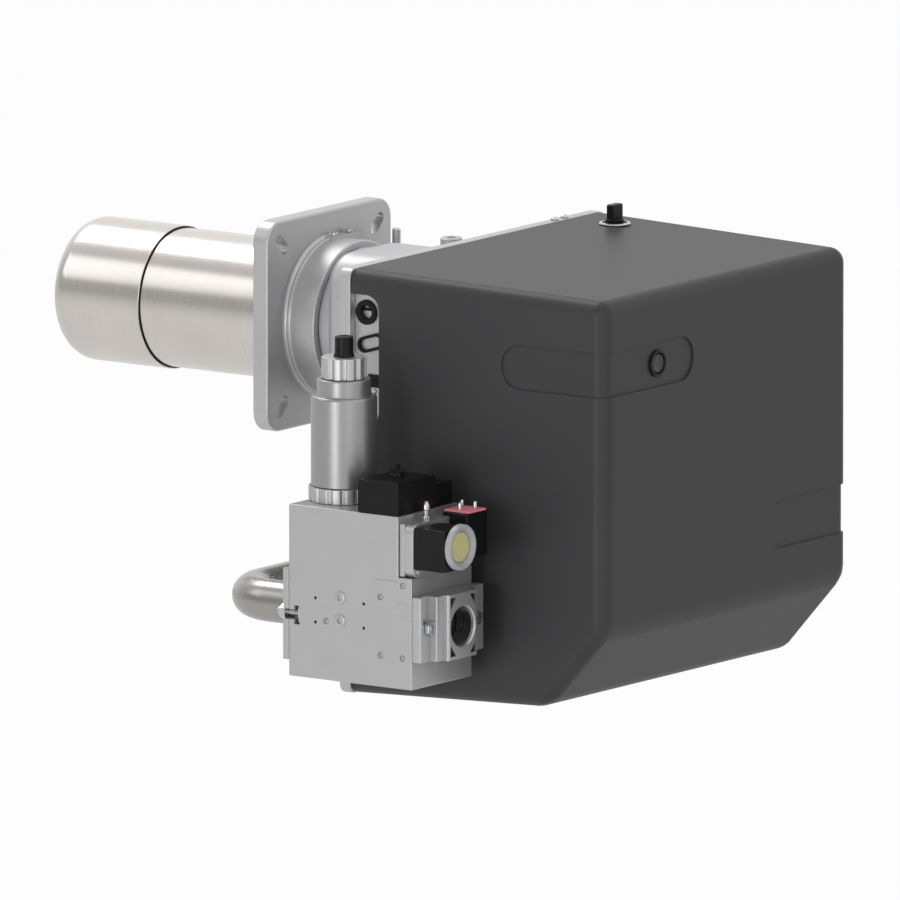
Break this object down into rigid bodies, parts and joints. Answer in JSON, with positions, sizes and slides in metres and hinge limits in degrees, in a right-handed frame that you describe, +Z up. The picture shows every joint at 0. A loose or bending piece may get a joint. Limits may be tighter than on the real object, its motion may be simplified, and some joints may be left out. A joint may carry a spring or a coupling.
{
  "type": "industrial gas burner",
  "caption": "Hinged forced-draught gas burner with a blast tube, a square mounting flange, a gas valve train and a fan under a tapered hood.",
  "frame": {"origin": "on the blast tube's axis, in the plane of the mounting flange's boiler face", "axes": "+X along the blast tube's axis, from the flame towards the hood's rear wall; +Z up; the gas train is on the -Y side"},
  "size_m": [0.7794, 0.56, 0.4484],
  "materials": {
    "cast_aluminium": "fine blasted casting",
    "valve_aluminium": "pressure-cast and machined, satin",
    "stainless_steel": "rolled stainless sheet, satin",
    "zinc_steel": "zinc plated",
    "hood_grey": "moulded, fine texture, dark grey",
    "black_plastic": "moulded, satin black",
    "button_grey": "moulded, satin grey",
    "control_plastic": "moulded, matt grey",
    "motor_paint": "painted, satin dark grey",
    "galvanised_sheet": "galvanised sheet",
    "ceramic": "glazed ceramic",
    "clear_cover": "clear polycarbonate",
    "dial_yellow": "printed dial, yellow",
    "gasket_red": "silicone rubber, red"
  },
  "bodies": {
    "boiler_side": {"mounting_flange": "cast_aluminium", "blast_tube": "stainless_steel", "flame_nozzle": "stainless_steel", "hinge_pin": "zinc_steel", "collar_screw_1": "zinc_steel", "collar_screw_2": "zinc_steel", "head_support": "cast_aluminium", "gas_lance": "stainless_steel", "gas_head": "stainless_steel", "baffle_disc": "stainless_steel", "ignition_electrode": "ceramic", "ionisation_probe": "ceramic"},
    "burner": {"neck_casting": "cast_aluminium", "gas_manifold": "cast_aluminium", "front_plate": "cast_aluminium", "plate_screw_1": "zinc_steel", "plate_screw_2": "zinc_steel", "fan_volute": "cast_aluminium", "volute_cover": "cast_aluminium", "air_box": "galvanised_sheet", "damper_servo": "black_plastic", "fan_motor": "motor_paint", "motor_end_cap": "motor_paint", "motor_capacitor": "black_plastic", "control_box": "control_plastic", "ignition_transformer": "black_plastic", "air_pressure_switch": "black_plastic", "cable_panel": "cast_aluminium", "cable_gland": "black_plastic", "slot_grommet": "black_plastic", "panel_plug": "black_plastic", "latch_bracket": "zinc_steel", "gas_pipe": "stainless_steel", "outlet_flange": "valve_aluminium", "outlet_bolt": "zinc_steel", "valve_block": "valve_aluminium", "inlet_flange": "valve_aluminium", "inlet_bolt_1": "zinc_steel", "inlet_bolt_2": "zinc_steel", "solenoid_base": "valve_aluminium", "solenoid_housing": "valve_aluminium", "coil_plug": "black_plastic", "switch_adapter": "valve_aluminium", "pressure_switch": "black_plastic", "switch_window": "clear_cover", "valve_connector": "black_plastic", "connector_gasket": "gasket_red", "test_nipple": "zinc_steel"},
    "hood": {"hood_shell": "hood_grey", "reset_bezel": "black_plastic", "latch_washer": "zinc_steel"},
    "latch": {"latch_knob": "black_plastic"},
    "reset": {"reset_button": "button_grey"},
    "fan": {"fan_impeller": "galvanised_sheet", "motor_shaft": "zinc_steel"},
    "damper": {"damper_flap": "galvanised_sheet"},
    "flow_setting": {"flow_ring": "valve_aluminium"},
    "cap": {"flow_cap": "black_plastic"},
    "dial": {"switch_dial": "dial_yellow"}
  },
  "joints": [
    {"name": "body_swing", "type": "hinge", "parent": "boiler_side", "child": "burner", "pos_m": [0.044, 0.08, 0], "axis": [0, 0, 1], "range_deg": [0, 55]},
    {"name": "hood_slide", "type": "slide", "parent": "burner", "child": "hood", "axis": [1, 0, 0], "range_m": [0, 0.32]},
    {"name": "latch_turn", "type": "hinge", "parent": "hood", "child": "latch", "pos_m": [0.254, 0.162, 0.094], "axis": [0, 0, 1], "range_deg": [0, 90]},
    {"name": "reset_press", "type": "slide", "parent": "burner", "child": "reset", "axis": [-1, 0, 0], "range_m": [0, 0.0025], "stiffness_N_per_m": 1000, "springref_m": -0.001},
    {"name": "fan_spin", "type": "hinge", "parent": "burner", "child": "fan", "pos_m": [0.342, 0, -0.092], "axis": [0, 1, 0], "continuous": true},
    {"name": "damper_turn", "type": "hinge", "parent": "burner", "child": "damper", "pos_m": [0.342, -0.0803, -0.205], "axis": [1, 0, 0], "range_deg": [0, 90]},
    {"name": "flow_ring_turn", "type": "hinge", "parent": "burner", "child": "flow_setting", "pos_m": [0.241, -0.286, 0], "axis": [0, 0, 1], "range_deg": [0, 330]},
    {"name": "cap_lift", "type": "slide", "parent": "flow_setting", "child": "cap", "axis": [0, 0, 1], "range_m": [0, 0.03]},
    {"name": "dial_turn", "type": "hinge", "parent": "burner", "child": "dial", "pos_m": [0.4016, -0.317, -0.152], "axis": [1, 0, 0], "range_deg": [0, 300]}
  ]
}
